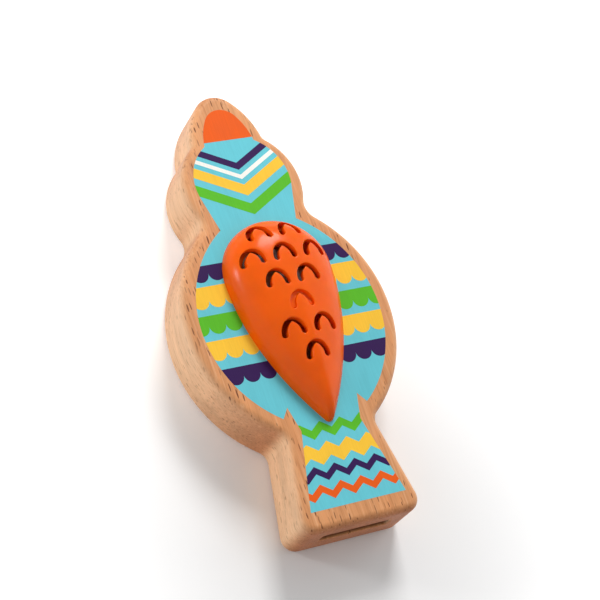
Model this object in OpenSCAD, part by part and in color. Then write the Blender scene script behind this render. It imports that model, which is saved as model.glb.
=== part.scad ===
// Bird-shaped wooden kazoo: a beech body lying on its back, with a domed grille cap over the membrane.
// Millimetres. +Z up out of the front face, +Y towards the beak, origin under the middle of the body's box.

/* [Body] */
// Length from the end of the tail to the tip of the beak
body_length = 149; // [145:1:153]
// Width across the wings
body_width = 71; // [66:1:78]
// Thickness of the beech board
board_thickness = 20; // [19:0.5:24]
// Radius of the rounded edges, front and back
edge_radius = 2.5; // [1:0.25:4]
// Radius of the arc along each side of the body
side_radius = 44; // [40:1:50]
// Height along the body at which it is widest
body_y = -6; // [-8:0.2:-4]

/* [Head and beak] */
// Radius of the round head
head_radius = 20.8; // [19:0.2:22]
// Centre of the head
head_y = 40.8; // [39:0.2:43]
// Width of the beak at its root
beak_width = 26.2; // [22:0.2:30]
// Place of the beak's greatest width
beak_y = 53.9; // [52:0.1:56]
// Radius of the beak's tip
beak_tip_radius = 8; // [5:0.5:10]

/* [Tail] */
// Width of the tail at its end
tail_width = 42.8; // [38:0.2:48]
// Width that the tail's sides would have in the middle of the body
tail_root_width = 16.8; // [12:0.2:22]
// Radius of the tail's two corners
tail_corner_radius = 4.5; // [4.25:0.25:8]

/* [Blends in the outline] */
// Radius of the hollow between beak and head
beak_blend = 2; // [1:0.5:4]
// Radius of the hollow at the neck
neck_blend = 6; // [3:0.5:10]
// Radius of the hollow between body and tail
tail_blend = 4.5; // [2:0.5:8]

/* [Mouth channel] */
// Width of the slot in the tail's end
mouth_width = 24; // [18:0.5:28]
// Height of the slot
mouth_height = 4.8; // [4.4:0.1:5]
// Height of the slot's middle above the back
mouth_z = 11.2; // [10.5:0.1:12]
// Depth of the channel from the tail's end
mouth_depth = 51; // [49:0.5:56]
// Radius of the slot's corners
mouth_corner = 1; // [0.5:0.1:2]

/* [Grille cap] */
// Radius of the cap's round end
cap_radius = 18.2; // [18:0.1:19.5]
// Centre of the round end
cap_y = 8.5; // [8:0.1:9]
// Length over which the cap tapers from its round end towards its tip
cap_taper = 51.5; // [50:0.5:54]
// Part of the taper at which the small round tip begins
cap_tip_start = 0.965; // [0.94:0.005:0.98]
// Height of the dome above the front face
cap_height = 10.3; // [9:0.1:12]
// Thickness of the cap's wall
cap_wall = 2; // [1.6:0.1:2.2]
// Thickness of the skirt that plugs into the body
skirt_wall = 1.5; // [1.2:0.1:1.8]
// Thickness of the rib that divides the membrane's side from the outlet's
rib_wall = 1.6; // [1.2:0.1:2]
// Place of the rib's lower side, under the groove
rib_y = -6.4; // [-6.8:0.1:-6]

/* [Feather slots] */
// Half the width of a slot's outer edge
slot_reach = 4; // [3.7:0.05:4.2]
// Rise of that edge above the feet of the slot's legs
slot_rise = 4.8; // [4.5:0.1:5]
// Half the width of the flap inside a slot
flap_reach = 2.05; // [1.9:0.05:2.4]
// Rise of the flap's tip above the feet
flap_rise = 3.6; // [3.3:0.1:3.8]
// Distance between the rows
slot_row_pitch = 8.3; // [7.8:0.1:8.6]
// Distance between slots in a row
slot_pitch = 10.6; // [9.6:0.1:10.8]
// Feet of the row nearest the head
slot_first_y = 18.9; // [18.5:0.1:19.2]
// Depth of the one slot that is only a groove
groove_depth = 1.4; // [0.8:0.1:1.4]

/* [Membrane] */
// Radius of the membrane's film
film_radius = 13.1; // [12.4:0.1:13.2]
// Thickness of the film
film_thickness = 0.1; // [0.1:0.05:0.15]
// Radius of the hole over which the film is stretched
window_radius = 11.5; // [9:0.1:12]
// Height of the seat in which the film lies between plate and ring
film_gap = 0.6; // [0.6:0.05:0.8]
// Thickness of the ring that keeps the film in its seat
ring_thickness = 1; // [0.8:0.1:1.2]

/* [Hidden] */
$fn = 96;

// Outline of the body.
tail_y = -body_length / 2;
beak_tip = [0, body_length / 2 - beak_tip_radius];
beak_side_radius = (pow(beak_width / 2, 2) + pow(beak_tip[1] - beak_y, 2) - pow(beak_tip_radius, 2))
    / (beak_width - 2 * beak_tip_radius);
beak_side = [beak_width / 2 - beak_side_radius, beak_y];
head = [0, head_y];
body_side = [body_width / 2 - side_radius, body_y];
tail_slope = atan((tail_width - tail_root_width) / 2 / (body_y - tail_y));
tail_normal = [cos(tail_slope), sin(tail_slope)];
tail_along = [sin(tail_slope), -cos(tail_slope)];
tail_offset = tail_normal * [tail_width / 2, tail_y];
tail_corner = [
    (tail_offset - tail_corner_radius - tail_normal[1] * (tail_y + tail_corner_radius)) / tail_normal[0],
    tail_y + tail_corner_radius
];
edge_steps = 6;

// Pocket under the cap: a wide step for the membrane plate, and the breath chamber below it.
pocket_land = 2.2;
pocket_end_y = -24.4;
pocket_big = cap_radius - pocket_land;
pocket_small = 7.4;
ledge = 2.5;
ledge_z = board_thickness - 4;
chamber_floor_z = 7;
plate_thickness = 2.5;
plate_z = ledge_z + plate_thickness;
plate_play = 0.15;
skirt_play = 0.1;

// Membrane, between the seat's floor and the ring.
seat_radius = 13.4;
ring_z = plate_z - ring_thickness;
seat_z = ring_z - film_gap;
film_z = seat_z + (film_gap - film_thickness) / 2;
port_radius = 4;
port_start_y = -14.4;

// Cap and its slots.
dome_steps = 16;
round_end_steps = 40;
taper_steps = 22;
tip_steps = 4;
slot_steps = 24;
flap_steps = 8;
foot_steps = 6;
slot_floor_z = board_thickness + 3;
groove_floor_z = board_thickness + cap_height - groove_depth;
dome_top_z = board_thickness + cap_height + 2;
outer_column = slot_pitch;
inner_column = slot_pitch / 2;
groove_row = 3;
slot_rows = [
    [-inner_column, inner_column],
    [-outer_column, 0, outer_column],
    [-inner_column, inner_column],
    [0],
    [-inner_column, inner_column],
    [0]
];

wood = [0.86, 0.66, 0.48];
orange = [0.93, 0.36, 0.08];
clear_film = [0.88, 0.92, 0.95, 0.45];

// Direction from one point to another, in degrees.
function heading(from, to) = atan2(to[1] - from[1], to[0] - from[0]);

// Angle b, a turn later than a where it has to be.
function onward(a, b) = b < a ? b + 360 : b;

// Points along an arc, without its last one.
function arc(centre, radius, start, stop, steps) =
    [for (i = [0:steps - 1])
        let (a = start + (stop - start) * i / steps)
        centre + radius * [cos(a), sin(a)]];

// Point at given distances from a and b, on the right when going from a to b.
function meet(a, from_a, b, from_b) =
    let (
        span = norm(b - a),
        along = (b - a) / span,
        x = (span * span + from_a * from_a - from_b * from_b) / (2 * span)
    )
    a + x * along + sqrt(from_a * from_a - x * x) * [-along[1], along[0]];

// Centre of the blend between the body's side and the tail's straight side.
function tail_blend_centre() =
    let (
        foot = tail_normal * (tail_offset + tail_blend),
        b = (foot - body_side) * tail_along,
        c = (foot - body_side) * (foot - body_side) - pow(side_radius + tail_blend, 2)
    )
    foot + (-b + sqrt(b * b - c)) * tail_along;

// Right half of the body's outline from the beak to the tail, set inwards by a distance.
function half_outline(inset) =
    let (
        beak_hollow = meet(beak_side, beak_side_radius + beak_blend, head, head_radius + beak_blend),
        neck_hollow = meet(head, head_radius + neck_blend, body_side, side_radius + neck_blend),
        tail_hollow = tail_blend_centre(),
        tip_stop = heading(beak_side, beak_tip),
        beak_in = heading(beak_hollow, beak_side),
        neck_in = heading(neck_hollow, head),
        tail_in = heading(tail_hollow, body_side)
    )
    concat(
        arc(beak_tip, beak_tip_radius - inset, 90, tip_stop, 8),
        arc(beak_side, beak_side_radius - inset, tip_stop, heading(beak_side, beak_hollow), 8),
        arc(beak_hollow, beak_blend + inset, beak_in, onward(beak_in, heading(beak_hollow, head)), 5),
        arc(head, head_radius - inset, heading(head, beak_hollow), heading(head, neck_hollow), 18),
        arc(neck_hollow, neck_blend + inset, neck_in, onward(neck_in, heading(neck_hollow, body_side)), 8),
        arc(body_side, side_radius - inset, heading(body_side, neck_hollow), heading(body_side, tail_hollow), 28),
        arc(tail_hollow, tail_blend + inset, tail_in, onward(tail_in, tail_slope + 180), 8),
        [tail_hollow - (tail_blend + inset) * tail_normal],
        arc(tail_corner, tail_corner_radius - inset, tail_slope, -90, 6),
        [tail_corner - [0, tail_corner_radius - inset]]
    );

// Whole outline, clockwise from the tip of the beak.
function outline(inset) =
    let (right = half_outline(inset))
    concat(right, [for (i = [len(right) - 1:-1:1]) [-right[i][0], right[i][1]]]);

// Right half of a teardrop about its round end's centre: a parabola that ends in a small round tip.
function half_teardrop(radius, taper) =
    let (
        start = cap_tip_start,
        x = radius * (1 - start * start),
        lean = atan(2 * radius * start / taper),
        tip_radius = x / cos(lean),
        tip = [0, -taper * start + x * tan(lean)]
    )
    concat(
        arc([0, 0], radius, 90, 0, round_end_steps / 2),
        [for (i = [0:taper_steps - 1])
            let (u = start * i / taper_steps)
            [radius * (1 - u * u), -taper * u]],
        arc(tip, tip_radius, -lean, -90, tip_steps),
        [tip - [0, tip_radius]]
    );

// Whole teardrop, clockwise from the middle of its round end.
function teardrop(radius, taper) =
    let (right = half_teardrop(radius, taper))
    concat(right, [for (i = [len(right) - 2:-1:1]) [-right[i][0], right[i][1]]]);

// Triangles across a ring that mirrors itself about X = 0, in strips from its first point to the far end.
function cap_faces(count, first) =
    [for (i = [0:floor(count / 2) - 1])
        let (a = i, b = i + 1, c = count - i - 1, d = (count - i) % count)
        each concat(
            b == c ? [] : [[first + a, first + b, first + c]],
            a == d ? [] : [[first + a, first + c, first + d]]
        )];

// Solid through rings of points, each ring clockwise seen from above and higher than the one before.
module loft(rings) {
    count = len(rings[0]);
    top = len(rings) - 1;
    polyhedron(
        points = [for (ring = rings) each ring],
        faces = concat(
            [for (f = cap_faces(count, 0)) [f[2], f[1], f[0]]],
            cap_faces(count, top * count),
            [for (k = [0:top - 1], i = [0:count - 1])
                let (j = (i + 1) % count)
                each [
                    [k * count + i, k * count + j, (k + 1) * count + j],
                    [k * count + i, (k + 1) * count + j, (k + 1) * count + i]
                ]]
        )
    );
}

// Rings of the body: a quarter round at the back edge, and one at the front edge.
function body_rings() =
    let (
        round = [for (i = [0:edge_steps])
            edge_radius * [1 - sin(90 * i / edge_steps), 1 - cos(90 * i / edge_steps)]],
        back = [for (step = round) [step[0], step[1]]],
        front = [for (i = [edge_steps:-1:0]) [round[i][0], board_thickness - round[i][1]]]
    )
    [for (step = concat(back, front)) [for (p = outline(step[0])) [p[0], p[1], step[1]]]];

// Teardrop dome that stands on the front face.
module dome(radius, taper, height) {
    base = teardrop(radius, taper);
    rings = [for (i = [0:dome_steps - 1])
        let (a = 90 * i / dome_steps, shrink = pow(cos(a), 2 / 3))
        [for (p = base) [shrink * p[0], cap_y + shrink * p[1], board_thickness + height * sin(a)]]];
    loft(rings);
}

// Egg-shaped outline of the pocket, set inwards by a distance: two arcs and the straight sides between.
function egg(inset) =
    let (
        big = pocket_big - inset,
        small = pocket_small - inset,
        lean = asin((big - small) / (cap_y - pocket_end_y))
    )
    concat(
        arc([0, cap_y], big, 180 + lean, -lean, 48),
        [[big * cos(lean), cap_y - big * sin(lean)]],
        arc([0, pocket_end_y], small, -lean, lean - 180, 24),
        [[-small * cos(lean), pocket_end_y - small * sin(lean)]]
    );

// Egg-shaped prism between two heights.
module egg_prism(inset, low, high) {
    translate([0, 0, low])
        linear_extrude(high - low)
            polygon(egg(inset));
}

// Outline of a feather slot about the middle of its feet: a round outer edge, and a pointed flap inside it.
function feather() =
    let (
        flap_radius = (flap_reach * flap_reach + flap_rise * flap_rise) / (2 * flap_reach),
        centre = flap_radius - flap_reach,
        peak = acos(centre / flap_radius),
        leg = (slot_reach + flap_reach) / 2,
        half = (slot_reach - flap_reach) / 2
    )
    concat(
        [for (i = [0:slot_steps - 1])
            let (a = 180 * (1 - i / slot_steps))
            [slot_reach * cos(a), slot_rise * sin(a)]],
        arc([leg, 0], half, 0, -180, foot_steps),
        arc([-centre, 0], flap_radius, 0, peak, flap_steps),
        arc([centre, 0], flap_radius, 180 - peak, 180, flap_steps),
        arc([-leg, 0], half, 0, -180, foot_steps)
    );

// Cutter for one feather slot.
module feather_cutter(x, row, low) {
    translate([x, slot_first_y - row * slot_row_pitch, low])
        linear_extrude(dome_top_z - low)
            polygon(feather());
}

// Flat slot with small round corners.
module mouth_shape() {
    reach = mouth_width / 2 - mouth_corner;
    rise = mouth_height / 2 - mouth_corner;
    square([2 * reach, mouth_height], center = true);
    square([mouth_width, 2 * rise], center = true);
    for (x = [-reach, reach], y = [-rise, rise])
        translate([x, y])
            circle(mouth_corner);
}

// Beech board with the breath chamber and the channel that leads to it from the tail.
module bored_board() {
    difference() {
        loft(body_rings());
        egg_prism(ledge, chamber_floor_z, ledge_z + 1);
        translate([0, tail_y + mouth_depth, mouth_z])
            rotate([90, 0, 0])
                linear_extrude(mouth_depth + 1)
                    mouth_shape();
    }
}

// Beech body: the bored board with the wider step in its front for plate and cap.
module body_block() {
    color(wood)
        difference() {
            bored_board();
            egg_prism(0, ledge_z, board_thickness + 1);
        }
}

// Domed plastic cap with its feather slots, the skirt that plugs into the body and the dividing rib.
module grille_cap() {
    color(orange) {
        difference() {
            dome(cap_radius, cap_taper, cap_height);
            translate([0, 0, -0.01])
                dome(cap_radius - cap_wall, cap_taper - 2 * cap_wall, cap_height - cap_wall);
            for (row = [0:len(slot_rows) - 1])
                for (x = slot_rows[row])
                    feather_cutter(x, row, row == groove_row ? groove_floor_z : slot_floor_z);
        }
        intersection() {
            union() {
                difference() {
                    egg_prism(skirt_play, plate_z, board_thickness + cap_height);
                    egg_prism(skirt_play + skirt_wall, plate_z - 1, dome_top_z);
                }
                intersection() {
                    egg_prism(skirt_play + skirt_wall / 2, plate_z, board_thickness + cap_height);
                    translate([-cap_radius, rib_y, plate_z])
                        cube([2 * cap_radius, rib_wall, cap_height]);
                }
            }
            union() {
                dome(cap_radius - cap_wall / 2, cap_taper - cap_wall, cap_height - cap_wall / 2);
                egg_prism(0, plate_z - 1, board_thickness + 0.5);
            }
        }
    }
}

// Plate on the pocket's ledge, with the membrane's seat and the port that lets the breath out.
module membrane_plate() {
    color(orange)
        difference() {
            egg_prism(plate_play, ledge_z, plate_z);
            translate([0, cap_y, ledge_z - 1])
                cylinder(h = plate_thickness + 2, r = window_radius);
            translate([0, cap_y, seat_z])
                cylinder(h = plate_thickness, r = seat_radius);
            translate([0, 0, ledge_z - 1])
                linear_extrude(plate_thickness + 2) {
                    translate([0, port_start_y])
                        circle(port_radius);
                    translate([0, pocket_end_y])
                        circle(port_radius);
                    translate([-port_radius, pocket_end_y])
                        square([2 * port_radius, port_start_y - pocket_end_y]);
                }
        }
}

// Ring pressed into the plate over the film.
module membrane_ring() {
    color(orange)
        translate([0, cap_y, ring_z])
            difference() {
                cylinder(h = ring_thickness, r = seat_radius);
                translate([0, 0, -1])
                    cylinder(h = ring_thickness + 2, r = window_radius);
            }
}

// Film that buzzes, free to flutter in its seat.
module membrane() {
    color(clear_film)
        translate([0, cap_y, film_z])
            cylinder(h = film_thickness, r = film_radius);
}

body_block();
grille_cap();
membrane_plate();
membrane_ring();
membrane();
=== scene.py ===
import math
from collections import namedtuple

import bmesh
import bpy
from mathutils import Matrix, Vector
from mathutils.geometry import delaunay_2d_cdt


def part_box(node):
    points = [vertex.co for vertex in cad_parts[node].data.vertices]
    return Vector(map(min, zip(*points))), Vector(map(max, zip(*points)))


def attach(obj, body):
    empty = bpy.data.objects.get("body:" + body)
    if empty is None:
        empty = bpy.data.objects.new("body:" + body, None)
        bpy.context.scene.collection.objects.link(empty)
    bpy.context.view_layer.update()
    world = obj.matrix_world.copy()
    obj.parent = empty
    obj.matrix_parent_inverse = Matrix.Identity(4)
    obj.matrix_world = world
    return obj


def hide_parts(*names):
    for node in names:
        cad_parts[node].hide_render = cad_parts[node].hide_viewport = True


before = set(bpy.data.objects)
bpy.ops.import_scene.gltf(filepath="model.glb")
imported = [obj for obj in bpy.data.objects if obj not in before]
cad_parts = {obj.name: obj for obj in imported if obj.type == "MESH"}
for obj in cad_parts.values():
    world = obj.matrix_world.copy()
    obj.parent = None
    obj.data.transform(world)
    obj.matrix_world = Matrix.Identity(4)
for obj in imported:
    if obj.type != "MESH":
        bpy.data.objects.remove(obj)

bl_info = {
    "name": "Bird-shaped wooden kazoo",
    "version": (1, 0, 0),
    "blender": (4, 5, 0),
    "location": "3D View > Sidebar > Kazoo",
    "description": "Builds the finished kazoo around its CAD frame: beech board, print, grille cap and film",
    "category": "Object",
}

MM = 0.001
WELD = 0.002 * MM
UP = Vector((0, 0, 1))
WHITE = (1, 1, 1, 1)
BLACK = (0, 0, 0, 1)

# Boxes of the CAD
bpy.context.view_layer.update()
BOARD_LOW, BOARD_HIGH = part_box("body_block")
CAP_LOW, CAP_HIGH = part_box("grille_cap")

# Longest steps along the arcs of drawn outlines
BOARD_SPACING = 1.1 * MM
POCKET_SPACING = 1.5 * MM
PRINT_SPACING = 0.8 * MM
MOTIF_SPACING = 0.5 * MM

# Steps across the board's rounded edges, the mouth's eased rim and the mouth's corners
EDGE_STEPS = 8
MOUTH_RIM_STEPS = 4
MOUTH_CORNER_STEPS = 5

# Steepest angles, in degrees, over which shading is smooth
BOARD_SMOOTH = 35
CAP_SMOOTH = 38

# Moves of an outline: an arc about a centre, and a straight run to its end
Arc = namedtuple("Arc", "centre turn")
Line = namedtuple("Line", "end")


# Settings that a user would change

def size(name, description, metres):
    """Length property."""
    return bpy.props.FloatProperty(
        name=name, description=description, default=metres, unit="LENGTH", subtype="DISTANCE", precision=5
    )


def linear(red, green, blue):
    """Scene-linear colour of an sRGB colour in 0 to 255."""
    shares = [channel / 255 for channel in (red, green, blue)]
    return tuple(s / 12.92 if s <= 0.04045 else ((s + 0.055) / 1.055) ** 2.4 for s in shares)


def colour(name, description, red, green, blue):
    """Colour property, given in sRGB."""
    return bpy.props.FloatVectorProperty(
        name=name, description=description, default=linear(red, green, blue), subtype="COLOR", min=0, max=1
    )


def vector(name, description, value):
    """Property for a place or a direction."""
    return bpy.props.FloatVectorProperty(name=name, description=description, default=value, subtype="XYZ")


class KazooBoard(bpy.types.PropertyGroup):
    """Sizes of the beech board."""

    length: size("Length", "From the tail's end to the beak's tip", BOARD_HIGH.y - BOARD_LOW.y)
    width: size("Width", "Across the wings", BOARD_HIGH.x - BOARD_LOW.x)
    thickness: size("Thickness", "Thickness of the board", BOARD_HIGH.z - BOARD_LOW.z)
    edge_radius: size("Edge radius", "Radius of the rounded edges", 2.5 * MM)
    side_radius: size("Side radius", "Radius of the arc along each side", 44 * MM)
    widest_y: size("Widest at", "Place of the greatest width", -6 * MM)
    head_radius: size("Head radius", "Radius of the round head", 20.8 * MM)
    head_y: size("Head centre", "Centre of the head", 40.8 * MM)
    beak_width: size("Beak width", "Width of the beak at its root", 26.2 * MM)
    beak_y: size("Beak root", "Place of the beak's greatest width", 53.9 * MM)
    beak_tip: size("Beak tip radius", "Radius of the beak's tip", 8 * MM)
    tail_width: size("Tail width", "Width of the tail at its end", 42.8 * MM)
    tail_root: size("Tail root width", "The tail's width if carried on to the widest place", 16.8 * MM)
    tail_corner: size("Tail corner radius", "Radius of the tail's two corners", 4.5 * MM)
    beak_blend: size("Beak blend", "Radius of the hollow between beak and head", 2 * MM)
    neck_blend: size("Neck blend", "Radius of the hollow at the neck", 6 * MM)
    tail_blend: size("Tail blend", "Radius of the hollow between body and tail", 4.5 * MM)
    mouth_width: size("Mouth width", "Width of the slot in the tail's end", 24 * MM)
    mouth_height: size("Mouth height", "Height of that slot", 4.8 * MM)
    mouth_z: size("Mouth middle", "Height of the slot's middle above the back", 11.2 * MM)
    mouth_depth: size("Mouth depth", "Depth of the channel", 51 * MM)
    mouth_corner: size("Mouth corner radius", "Radius of the slot's corners", 1 * MM)
    mouth_easing: size("Mouth easing", "Rounding of the slot's rim", 0.45 * MM)
    pocket_y: size("Pocket centre", "Centre of the pocket's wide end", 8.5 * MM)
    pocket_end_y: size("Pocket end", "Centre of the pocket's narrow end", -24.4 * MM)
    pocket_radius: size("Pocket radius", "Radius of the wide end", 16 * MM)
    pocket_end_radius: size("Pocket end radius", "Radius of the narrow end", 7.4 * MM)
    ledge: size("Ledge", "Width of the step that carries the membrane plate", 2.5 * MM)
    ledge_z: size("Ledge height", "Height of that step above the back", 16 * MM)
    chamber_z: size("Chamber floor", "Height of the breath chamber's floor", 7 * MM)


class KazooCap(bpy.types.PropertyGroup):
    """Sizes of the grille cap."""

    radius: size("Radius", "Radius of the round end", (CAP_HIGH.x - CAP_LOW.x) / 2)
    centre_y: size("Centre", "Centre of the round end", CAP_HIGH.y - (CAP_HIGH.x - CAP_LOW.x) / 2)
    taper: size("Taper", "Length over which the cap narrows to its tip", 51.5 * MM)
    height: size("Height", "Height of the dome", CAP_HIGH.z - BOARD_HIGH.z)
    wall: size("Wall", "Thickness of the wall", 2 * MM)
    slot_reach: size("Slot reach", "Half the width of a feather slot's outer edge", 4 * MM)
    slot_rise: size("Slot rise", "Rise of that edge above the feet of the slot's legs", 4.8 * MM)
    flap_reach: size("Flap reach", "Half the width of the flap inside a slot", 2.05 * MM)
    flap_rise: size("Flap rise", "Rise of the flap's tip above the feet", 3.6 * MM)
    row_pitch: size("Row pitch", "Distance between the rows", 8.3 * MM)
    column_pitch: size("Column pitch", "Distance between slots in a row", 10.6 * MM)
    first_row: size("First row", "Feet of the row nearest the head", 18.9 * MM)
    groove_depth: size("Groove depth", "Depth of the one slot that is only a groove", 1.4 * MM)
    lip: size("Lip", "Rounding of the slots' lips", 0.28 * MM)
    skirt_low: size("Skirt end", "Height of the skirt's lower end above the back", 18.5 * MM)
    skirt_play: size("Skirt play", "Gap between skirt and pocket", 0.1 * MM)
    skirt_wall: size("Skirt wall", "Thickness of the skirt", 1.5 * MM)
    rib_y: size("Rib", "Place of the rib's lower side under the groove", -6.4 * MM)
    rib_wall: size("Rib wall", "Thickness of that rib", 1.6 * MM)


class KazooPrint(bpy.types.PropertyGroup):
    """Sizes and colours of the printed front."""

    margin: size("Margin", "Bare wood beside the body's print", 4.6 * MM)
    beak_margin: size("Beak margin", "Bare wood beside the beak's print", 4.2 * MM)
    beak_top: size("Beak top margin", "Bare wood at the beak's tip", 5.7 * MM)
    head_radius: size("Head radius", "Radius of the head's print", 16.6 * MM)
    head_y: size("Head centre", "Centre of the head's print", 42.3 * MM)
    neck_width: size("Neck width", "Width of the print at the neck", 28 * MM)
    neck_y: size("Neck", "Place of the neck's corners", 27.6 * MM)
    wing_end_y: size("Wing end", "Place where the wings' outer edges end", -37.9 * MM)
    notch_width: size("Notch width", "Distance between the notches beside the tail", 24.4 * MM)
    notch_y: size("Notch", "Place of those notches", -34.6 * MM)
    tail_root_width: size("Tail root width", "Width of the print where the tail begins", 20.6 * MM)
    tail_root_y: size("Tail root", "Place where the tail's print begins", -42.8 * MM)
    tail_width: size("Tail width", "Width of the print at the tail's end", 33 * MM)
    tail_end_margin: size("Tail end margin", "Bare wood at the tail's end", 6.35 * MM)
    ink: size("Ink", "Rise of the ground above the wood, and of the motifs above the ground", 0.02 * MM)
    sky: colour("Sky blue", "Ground colour", 104, 199, 212)
    green: colour("Green", "Leaf green ink", 90, 186, 40)
    yellow: colour("Yellow", "Warm yellow ink", 250, 198, 60)
    navy: colour("Navy", "Dark violet-blue ink", 50, 22, 78)
    orange: colour("Orange", "Orange ink", 234, 94, 24)
    white: colour("White", "White ink", 247, 244, 236)


class KazooFinish(bpy.types.PropertyGroup):
    """Colours of the wood, the plastic and the film."""

    beech_face: colour("Beech face", "Lacquered front and back", 217, 150, 98)
    # Paler than the face as a painted sheen, standing in for the bright surroundings that the sides reflect
    beech_side_sheen: colour("Beech sides", "Paler quarter-cut sides", 240, 194, 152)
    # Darker than the face, as end grain is, and darkened further as painted shade on the faces along Y
    beech_end_grain_and_shade: colour("Beech ends", "Darker end grain", 187, 116, 76)
    # Dark rays in the wood; the same colour is the painted shade inside the mouth channel
    beech_fleck_and_channel_shade: colour("Beech fleck", "Dark rays in the wood, and the raw mouth channel", 96, 50, 28)
    cap: colour("Plastic", "Orange plastic of cap, plate and ring", 240, 94, 2)
    film: colour("Film", "Clear film", 236, 242, 246)


class KazooStage(bpy.types.PropertyGroup):
    """Camera and floor."""

    camera: vector("Camera", "Where the camera stands", (-0.2612, -0.18835, 0.5214))
    camera_right: vector("Right", "Direction to the picture's right", (0.8803, -0.3256, 0.3451))
    camera_up: vector("Up", "Direction to the picture's top", (0.165, 0.892, 0.4208))
    lens: bpy.props.FloatProperty(
        name="Lens", description="Focal length in millimetres", default=114.4, unit="CAMERA"
    )
    floor: colour("Floor", "Colour of the floor", 246, 246, 246)


# Modelling helpers

def only(piece):
    """Selects one object and makes it the active one."""
    bpy.ops.object.select_all(action="DESELECT")
    piece.select_set(True)
    bpy.context.view_layer.objects.active = piece


def draw(name, start, moves, spacing):
    """Line drawn in the plane Z = 0: arcs are spun and straight runs extruded. Stays in edit mode."""
    bpy.ops.object.select_all(action="DESELECT")
    bpy.ops.mesh.primitive_plane_add(size=MM)
    piece = bpy.context.object
    piece.name = name
    piece.data.name = name
    bpy.ops.object.mode_set(mode="EDIT")
    bpy.ops.mesh.select_mode(type="VERT")
    bpy.ops.mesh.select_all(action="SELECT")
    bpy.ops.mesh.merge(type="CENTER")
    here = Vector(start)
    bpy.ops.transform.translate(value=(here.x, here.y, 0))
    for move in moves:
        if isinstance(move, Arc):
            centre = Vector(move.centre)
            reach = here - centre
            steps = max(2, math.ceil(abs(move.turn) * reach.length / spacing))
            # Seen from above, a positive angle of the spin tool turns clockwise.
            bpy.ops.mesh.spin(steps=steps, angle=-move.turn, center=(centre.x, centre.y, 0), axis=UP)
            here = centre + Matrix.Rotation(move.turn, 2) @ reach
        else:
            step = Vector(move.end) - here
            bpy.ops.mesh.extrude_vertices_move(TRANSFORM_OT_translate={"value": (step.x, step.y, 0)})
            here = Vector(move.end)
    return piece


def mirror_over(piece):
    """Adds the mirror image across X = 0 to a line that is being drawn."""
    bpy.ops.object.mode_set(mode="OBJECT")
    only(piece)
    mirror = piece.modifiers.new("mirror", "MIRROR")
    mirror.merge_threshold = WELD
    bpy.ops.object.modifier_apply(modifier=mirror.name)
    bpy.ops.object.mode_set(mode="EDIT")


def raise_solid(piece, low, high):
    """Fills the drawn line and extrudes it from one height to another."""
    bpy.ops.mesh.select_all(action="SELECT")
    bpy.ops.mesh.remove_doubles(threshold=WELD)
    bpy.ops.mesh.edge_face_add()
    bpy.ops.transform.translate(value=(0, 0, low))
    bpy.ops.mesh.extrude_region_move(TRANSFORM_OT_translate={"value": (0, 0, high - low)})
    bpy.ops.mesh.select_all(action="SELECT")
    bpy.ops.mesh.normals_make_consistent(inside=False)
    bpy.ops.object.mode_set(mode="OBJECT")
    if len(piece.data.polygons) < 3:
        raise RuntimeError(f"{piece.name} didn't close into a solid")
    return piece


def combine(piece, tool, operation):
    """Cuts, adds or intersects a tool solid, which is used up."""
    only(piece)
    step = piece.modifiers.new("combine", "BOOLEAN")
    step.operation = operation
    step.solver = "EXACT"
    step.object = tool
    bpy.ops.object.modifier_apply(modifier=step.name)
    bpy.data.objects.remove(tool)
    if not piece.data.polygons:
        raise RuntimeError(f"nothing is left of {piece.name}")


def bevel_edges(piece, chosen, radius, segments):
    """Rounds the edges for which chosen(edge) is true."""
    only(piece)
    bpy.ops.object.mode_set(mode="EDIT")
    bpy.ops.mesh.select_mode(type="EDGE")
    bpy.ops.mesh.select_all(action="DESELECT")
    mesh = bmesh.from_edit_mesh(piece.data)
    for edge in mesh.edges:
        edge.select_set(chosen(edge))
    bmesh.update_edit_mesh(piece.data)
    bpy.ops.mesh.bevel(offset=radius, segments=segments, profile=0.5, affect="EDGES", clamp_overlap=False)
    bpy.ops.object.mode_set(mode="OBJECT")


def smooth(piece, degrees, weighted=True):
    """Smooth shading up to an angle. Weighted normals keep flat faces flat."""
    only(piece)
    bpy.ops.object.shade_smooth_by_angle(angle=math.radians(degrees))
    if weighted:
        weights = piece.modifiers.new("weights", "WEIGHTED_NORMAL")
        weights.keep_sharp = True
        weights.weight = 100
        bpy.ops.object.modifier_apply(modifier=weights.name)


def paint(piece, material):
    """Gives a piece its only material."""
    piece.data.materials.clear()
    piece.data.materials.append(material)


def dress(piece, material):
    """Paints a piece and rides it on the kazoo."""
    paint(piece, material)
    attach(piece, "kazoo")


# Outlines

def meet(a, from_a, b, from_b):
    """Point at given distances from a and b, on the right of the board if b is nearer to the tail."""
    along = b - a
    span = along.length
    along = along / span
    x = (span * span + from_a * from_a - from_b * from_b) / (2 * span)
    return a + x * along + math.sqrt(from_a * from_a - x * x) * Vector((-along.y, along.x))


def heading(start, end):
    """Direction from one point to another, in radians."""
    return math.atan2(end.y - start.y, end.x - start.x)


def swing(start, end, clockwise):
    """Turn from one direction to another, negative if clockwise."""
    turn = (end - start) % math.tau
    return turn - math.tau if clockwise else turn


def board_points(board):
    """Centres and slopes that the board's outline and the print's share."""
    tip = Vector((0, board.length / 2 - board.beak_tip))
    half = board.beak_width / 2
    beak_radius = (half**2 + (tip.y - board.beak_y) ** 2 - board.beak_tip**2) / (2 * (half - board.beak_tip))
    tail_y = -board.length / 2
    slope = math.atan((board.tail_width - board.tail_root) / 2 / (board.widest_y - tail_y))
    normal = Vector((math.cos(slope), math.sin(slope)))
    return {
        "tip": tip,
        "beak_radius": beak_radius,
        "beak": Vector((half - beak_radius, board.beak_y)),
        "head": Vector((0, board.head_y)),
        "side": Vector((board.width / 2 - board.side_radius, board.widest_y)),
        "tail_y": tail_y,
        "slope": slope,
        "normal": normal,
        "along": Vector((normal.y, -normal.x)),
        "tail_offset": normal.dot(Vector((board.tail_width / 2, tail_y))),
    }


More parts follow.
